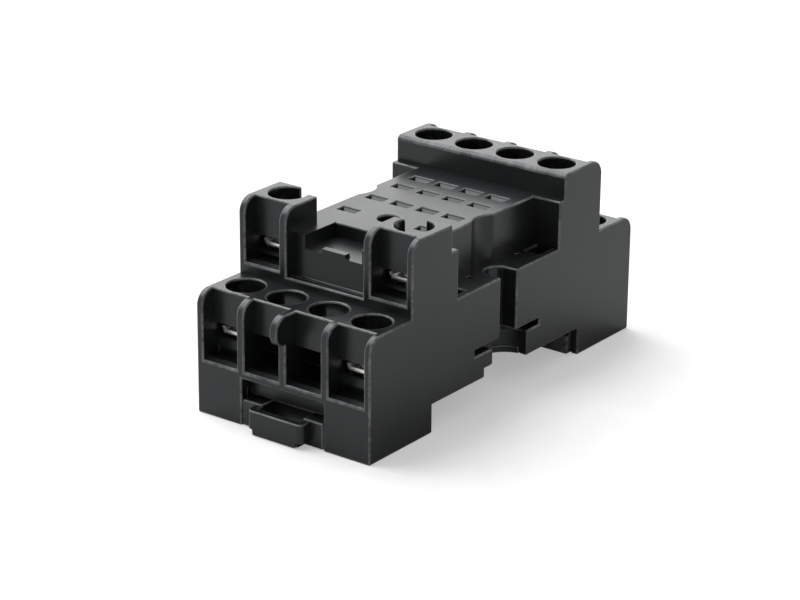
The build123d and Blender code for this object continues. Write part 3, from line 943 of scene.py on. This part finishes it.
@dataclass
class Metalwork:
    """Base of the small metal pieces: modelled once, then copied to every terminal."""

    home: Tier = Tier.COMMON
    hand: Hand = Hand.RIGHT
    smooth: float = 35.0

    def centre(self, tier: Tier, hand: Hand) -> Vector:
        """Point on the screw axis at the top of a terminal's pad, in metres."""
        return Vector((hand.value * OUTER_X, tier.y(WELL_SETBACK), tier.pad_top)) * MM

    def finish(self, master: bpy.types.Object) -> None:
        """Put the master's origin at the scene's origin and shade it.

        Args:
            master: the piece modelled at this class's home terminal.
        """
        activate(master)
        bpy.ops.object.transform_apply(location=True, rotation=True, scale=True)
        bpy.ops.object.shade_smooth_by_angle(angle=math.radians(self.smooth))

    def spread(
        self, master: bpy.types.Object, prefix: str, slot: str, material: bpy.types.Material
    ) -> None:
        """Copy the master to all eight terminals and hand the copies over.

        Args:
            master: the piece modelled at this class's home terminal.
            prefix: "screw" or "clamp", as in the node names.
            slot: not used.
            material: finish of the pieces.
        """
        start = self.centre(self.home, self.hand)
        for tier in Tier:
            for hand in Hand:
                label = f"{prefix}_{tier.label}_{hand.label}"
                piece = duplicate(master, f"{label}_formed")
                with editing():
                    bpy.ops.mesh.select_all(action="SELECT")
                    bpy.ops.transform.translate(value=self.centre(tier, hand) - start)
                hand_over(piece, material, f"{label}_body", label)
        activate(master)
        bpy.ops.object.delete()


@dataclass
class TerminalScrew(Metalwork):
    """Pan head screw with a crossed drive and a rolled thread, sizes in mm."""

    sides: int = 64
    head_radius: float = 1.8
    head_height: float = 1.65
    head_round: float = 0.45
    rim_band: float = 0.1
    rim_round: float = 0.12
    under_head: float = 0.6
    length: float = 5.4
    core: float = 1.03
    tip_share: float = 0.75
    crest: float = 1.24
    ridge_radius: float = 0.24
    pitch: float = 0.5
    turns: int = 9
    turn_steps: int = 28
    drive_length: float = 2.5
    drive_width: float = 0.55
    drive_depth: float = 0.9
    drive_taper: float = 0.55
    drive_round: float = 0.08
    upright_share: float = 0.95

    def blank(self, at: Vector) -> bpy.types.Object:
        """Head and core turned in one piece.

        Args:
            at: point on the axis at the top of the pad, in metres.

        Returns:
            The blank, its origin on the axis.
        """
        half = self.head_height / 2 * MM
        deselect()
        bpy.ops.mesh.primitive_cylinder_add(
            vertices=self.sides,
            radius=self.head_radius * MM,
            depth=self.head_height * MM,
            location=at + Vector((0, 0, (self.under_head + self.head_height / 2) * MM)),
        )
        thing = bpy.context.active_object
        rim = (self.head_radius - self.rim_band) * MM
        with editing():
            select_where(thing, "faces", lambda f: f.normal.z < -NEAR_UPRIGHT)
            bpy.ops.mesh.inset(thickness=(self.head_radius - self.core) * MM, depth=0.0)
            bpy.ops.mesh.extrude_region_move(
                TRANSFORM_OT_translate={"value": (0, 0, -self.length * MM)}
            )
            bpy.ops.transform.resize(value=(self.tip_share, self.tip_share, 1.0))
            select_where(thing, "edges", lambda e: all(v.co.z > half - TINY for v in e.verts))
            bpy.ops.mesh.bevel(offset=self.head_round * MM, segments=6, affect="EDGES")
            select_where(
                thing,
                "edges",
                lambda e: all(abs(v.co.z + half) < TINY and v.co.xy.length > rim for v in e.verts),
            )
            bpy.ops.mesh.bevel(offset=self.rim_round * MM, segments=2, affect="EDGES")
        return thing

    def ridge(self, at: Vector) -> bpy.types.Object:
        """The helical thread as a closed ridge around the core.

        Args:
            at: point on the axis at the top of the pad, in metres.

        Returns:
            The ridge, with both its ends closed.
        """
        low = self.under_head - self.length + self.pitch
        deselect()
        bpy.ops.mesh.primitive_circle_add(
            vertices=3,
            radius=self.ridge_radius * MM,
            fill_type="NOTHING",
            location=at + Vector((0, 0, low * MM)),
        )
        thing = bpy.context.active_object
        middle = thing.location
        with editing():
            bpy.ops.mesh.select_all(action="SELECT")
            for axis in "XY":
                bpy.ops.transform.rotate(
                    value=math.pi / 2, orient_axis=axis, center_override=middle
                )
            bpy.ops.transform.translate(value=((self.crest - self.ridge_radius) * MM, 0, 0))
        screw = thing.modifiers.new("thread", "SCREW")
        screw.axis = "Z"
        screw.angle = math.tau
        screw.screw_offset = self.pitch * MM
        screw.iterations = self.turns
        screw.steps = self.turn_steps
        screw.render_steps = self.turn_steps
        screw.use_normal_calculate = True
        bpy.ops.object.modifier_apply(modifier="thread")
        with editing():
            select_where(thing, "edges", lambda e: e.is_boundary)
            bpy.ops.mesh.fill()
            bpy.ops.mesh.select_all(action="SELECT")
            bpy.ops.mesh.normals_make_consistent(inside=False)
        return thing

    def drive(self, at: Vector, turned: bool) -> bpy.types.Object:
        """Tapered cutter for one arm of the crossed recess.

        Args:
            at: point on the axis at the top of the pad, in metres.
            turned: whether the arm runs across instead of along.

        Returns:
            The cutter.
        """
        height = 2 * self.drive_depth * MM
        length, width = self.drive_length * MM, self.drive_width * MM
        size = (width, length, height) if turned else (length, width, height)
        thing = cuboid(at + Vector((0, 0, (self.under_head + self.head_height) * MM)), size)
        taper = (self.drive_taper, self.drive_taper, 1.0)
        with editing():
            select_where(thing, "faces", lambda f: f.normal.z < -NEAR_UPRIGHT)
            bpy.ops.transform.resize(value=taper, center_override=thing.location)
            upright = self.upright_share * height
            select_where(thing, "edges", lambda e: e.calc_length() > upright)
            bpy.ops.mesh.bevel(offset=self.drive_round * MM, segments=2, affect="EDGES")
        return thing

    def build(self, material: bpy.types.Material) -> None:
        """Model one screw and put it into all terminals.

        Args:
            material: finish of the screws.
        """
        at = self.centre(self.home, self.hand)
        thing = self.blank(at)
        combine(thing, [self.ridge(at)], "UNION")
        for turned in (False, True):
            combine(thing, [self.drive(at, turned)], "DIFFERENCE")
        self.finish(thing)
        self.spread(thing, "screw", "screw_steel", material)


@dataclass
class ClampPlate(Metalwork):
    """Pressure plate with flared sides, a bent outer edge and a toothed underside, sizes in mm."""

    width: float = 4.6
    depth: float = 4.4
    thick: float = 0.5
    lip: float = 0.42
    flare: float = 0.22
    lip_thick: float = 0.4
    gap: float = 0.05
    bend: float = 0.36
    teeth: int = 5
    tooth_half: float = 0.12
    tooth_depth: float = 0.12
    hole: float = 1.5
    hole_sides: int = 48
    hole_taper: float = 1.02
    punch: float = 3.0
    burr: float = 0.05
    burr_angle: float = 50.0

    def sheet(self, at: Vector) -> bpy.types.Object:
        """Flat plate with its two sides turned up.

        Args:
            at: point on the axis at the top of the pad, in metres.

        Returns:
            The sheet, its origin in the middle of the flat part.
        """
        middle = at + Vector((0, 0, (self.gap + self.thick / 2) * MM))
        thing = cuboid(middle, Vector((self.width, self.depth, self.thick)) * MM)
        inner = (self.width / 2 - self.lip_thick) * MM
        half = self.width / 2 * MM
        low = -self.thick / 2 * MM
        spread = (1 + self.flare / (self.width / 2), 1.0, 1.0)
        with editing():
            for side in (-inner, inner):
                bpy.ops.mesh.select_all(action="SELECT")
                bpy.ops.mesh.bisect(plane_co=middle + Vector((side, 0, 0)), plane_no=(1, 0, 0))
            select_where(
                thing,
                "faces",
                lambda f: f.normal.z > NEAR_UPRIGHT and abs(f.calc_center_median().x) > inner,
            )
            bpy.ops.mesh.extrude_region_move(
                TRANSFORM_OT_translate={"value": (0, 0, self.lip * MM)}
            )
            bpy.ops.transform.resize(value=spread, center_override=middle)
            select_where(
                thing,
                "edges",
                lambda e: all(
                    abs(abs(v.co.x) - half) < TINY and abs(v.co.z - low) < TINY for v in e.verts
                ),
            )
            bpy.ops.mesh.bevel(offset=self.bend * MM, segments=5, affect="EDGES")
        return thing

    def cut_teeth(self, thing: bpy.types.Object) -> None:
        """Press shallow grooves across the underside, where it grips the wire.

        Args:
            thing: the sheet.
        """
        flat = (self.width / 2 - self.bend) * MM
        low = -self.thick / 2 * MM
        pitch = self.depth / (self.teeth + 1) * MM
        half = self.tooth_half * MM
        grooves = [(tooth + 1) * pitch - self.depth / 2 * MM for tooth in range(self.teeth)]
        with editing():
            for y in grooves:
                for place in (y - half, y, y + half):
                    at = thing.location + Vector((0, place, 0))
                    bpy.ops.mesh.select_all(action="SELECT")
                    bpy.ops.mesh.bisect(plane_co=at, plane_no=(0, 1, 0))
            for y in grooves:
                select_where(
                    thing,
                    "verts",
                    lambda v, y=y: abs(v.co.y - y) < TINY
                    and abs(v.co.z - low) < TINY
                    and abs(v.co.x) < flat + TINY,
                )
                bpy.ops.transform.translate(value=(0, 0, self.tooth_depth * MM))

    def bore(self, thing: bpy.types.Object, at: Vector) -> None:
        """Punch the hole for the screw, slightly wider at its top.

        Args:
            thing: the sheet.
            at: point on the axis at the top of the pad, in metres.
        """
        deselect()
        bpy.ops.mesh.primitive_cylinder_add(
            vertices=self.hole_sides, radius=self.hole * MM, depth=self.punch * MM, location=at
        )
        tool = bpy.context.active_object
        wide = (self.hole_taper, self.hole_taper, 1.0)
        with editing():
            select_where(tool, "faces", lambda f: f.normal.z > NEAR_UPRIGHT)
            bpy.ops.transform.resize(value=wide, center_override=at)
        combine(thing, [tool], "DIFFERENCE")
        with editing():
            merge_close()

    def build(self, material: bpy.types.Material) -> None:
        """Model one clamp plate and put it into all terminals.

        Args:
            material: finish of the plates.
        """
        at = self.centre(self.home, self.hand)
        thing = self.sheet(at)
        self.cut_teeth(thing)
        self.bore(thing, at)
        burr = thing.modifiers.new("burr", "BEVEL")
        burr.width = self.burr * MM
        burr.segments = 2
        burr.limit_method = "ANGLE"
        burr.angle_limit = math.radians(self.burr_angle)
        bpy.ops.object.modifier_apply(modifier="burr")
        self.finish(thing)
        self.spread(thing, "clamp", "clamp_steel", material)


@dataclass(frozen=True)
class Lamp:
    """One soft square lamp that faces the object, sizes in metres, power in watts."""

    name: str
    place: Triple
    size: float
    power: float
    aim: Triple = (0.0, 0.0, 0.01)

    def build(self) -> None:
        """Hang the lamp."""
        data = bpy.data.lights.new(self.name, "AREA")
        data.size = self.size
        data.energy = self.power
        thing = bpy.data.objects.new(self.name, data)
        bpy.context.scene.collection.objects.link(thing)
        thing.location = self.place
        way = Vector(self.aim) - Vector(self.place)
        thing.rotation_euler = way.to_track_quat("-Z", "Y").to_euler()


@dataclass
class Studio:
    """Pale floor, soft light and the camera at the photograph's angle."""

    azimuth: float = 36.685
    elevation: float = 21.033
    roll: float = 0.541
    place: Triple = (213.437, -260.371 + FRONT, 149.303)
    focal_pixels: float = 2749.25
    image_width: float = 800.0
    sensor: float = 36.0
    clip: Pair = (0.01, 20.0)
    floor_size: float = 6.0
    paper: Triple = (0.66, 0.66, 0.66)
    pale_paper: Triple = (0.70, 0.70, 0.70)
    paper_roughness: float = 0.9
    glow: float = 0.36
    ambient: float = 0.42
    surround: float = 0.9
    lamps: tuple[Lamp, ...] = (
        Lamp("overhead_softbox", (-0.52, -0.02, 0.72), 0.90, 10.0),
        Lamp("back_panel", (-0.65, 0.90, 0.50), 0.90, 3.5),
    )

    def camera(self) -> None:
        """Set the camera that the photograph was taken with."""
        a = math.radians(self.azimuth)
        e = math.radians(self.elevation)
        r = math.radians(self.roll)
        back = Vector((math.sin(a) * math.cos(e), -math.cos(a) * math.cos(e), math.sin(e)))
        right = Vector((math.cos(a), math.sin(a), 0.0))
        up = back.cross(right)
        turned_right = math.cos(r) * right + math.sin(r) * up
        turned_up = -math.sin(r) * right + math.cos(r) * up
        data = bpy.data.cameras.new("photo_camera")
        data.sensor_width = self.sensor
        data.lens = self.focal_pixels / self.image_width * self.sensor
        data.clip_start, data.clip_end = self.clip
        thing = bpy.data.objects.new("photo_camera", data)
        bpy.context.scene.collection.objects.link(thing)
        columns = (turned_right, turned_up, back, Vector(self.place) * MM)
        rows = [[column[row] for column in columns] for row in range(3)]
        thing.matrix_world = Matrix([*rows, [0, 0, 0, 1]])
        bpy.context.scene.camera = thing

    def floor(self) -> None:
        """White sweep that keeps the object's shadow; the camera sees it a little brighter."""
        deselect()
        bpy.ops.mesh.primitive_plane_add(size=self.floor_size, location=(0.0, 0.0, 0.0))
        thing = bpy.context.active_object
        thing.name = "studio_floor"
        tree = MaterialTree("floor_paper")
        weave = tree.ramp(tree.noise(scale=300.0, detail=2.0, rough=0.5), low=0.3, high=0.7)
        paper = tree.mix(weave, rgba(self.paper), rgba(self.pale_paper))
        material = tree.principled({"Base Color": paper, "Roughness": self.paper_roughness})
        glow = tree.add("ShaderNodeEmission", {}, {"Color": WHITE, "Strength": self.glow})
        bright = tree.add("ShaderNodeAddShader", {}, {0: tree.surface, 1: glow})
        tree.close(tree.choose(tree.light_path("Is Camera Ray"), tree.surface, bright))
        give(thing, material)

    def world(self) -> None:
        """White surroundings for the camera and reflections, dim for the light they give."""
        world = bpy.data.worlds.new("studio_world")
        bpy.context.scene.world = world
        world.use_nodes = True
        tree = Tree(world.node_tree, "ShaderNodeOutputWorld")
        dim, white = (
            tree.add("ShaderNodeBackground", {}, {"Color": WHITE, "Strength": strength})
            for strength in (self.ambient, self.surround)
        )
        seen = tree.light_path("Is Camera Ray").larger(tree.light_path("Is Glossy Ray"))
        tree.close(tree.choose(seen, dim, white))

    def build(self) -> None:
        """Set up camera, floor, world and lamps."""
        bpy.context.scene.view_settings.view_transform = "Standard"
        self.camera()
        self.floor()
        self.world()
        for lamp in self.lamps:
            lamp.build()


def main() -> None:
    """Dress the socket and set the scene."""
    logging.basicConfig(level=logging.INFO, format="%(name)s: %(message)s")
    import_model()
    finishes = Finishes()
    deselect()
    Housing("housing", "socket", "housing_grey", 0.25, 0.08).build(finishes.housing)
    Dressed("base_plate", "socket", "base_grey", 0.20, 0.08).build(finishes.base)
    Latch("rail_latch", "latch", "latch_grey", 0.20, 0.08).build(finishes.latch)
    Spring("latch_spring", "latch", "spring_steel", 0.0).build(finishes.spring)
    TerminalScrew().build(finishes.screw)
    ClampPlate().build(finishes.clamp)
    for tier in Tier:
        for hand in Hand:
            node = f"contact_{tier.label}_{hand.label}"
            contact = Contact(node, "socket", "contact_brass", 0.05, tier=tier)
            contact.build(finishes.contact)
    Studio().build()


if __name__ == "__main__":
    main()
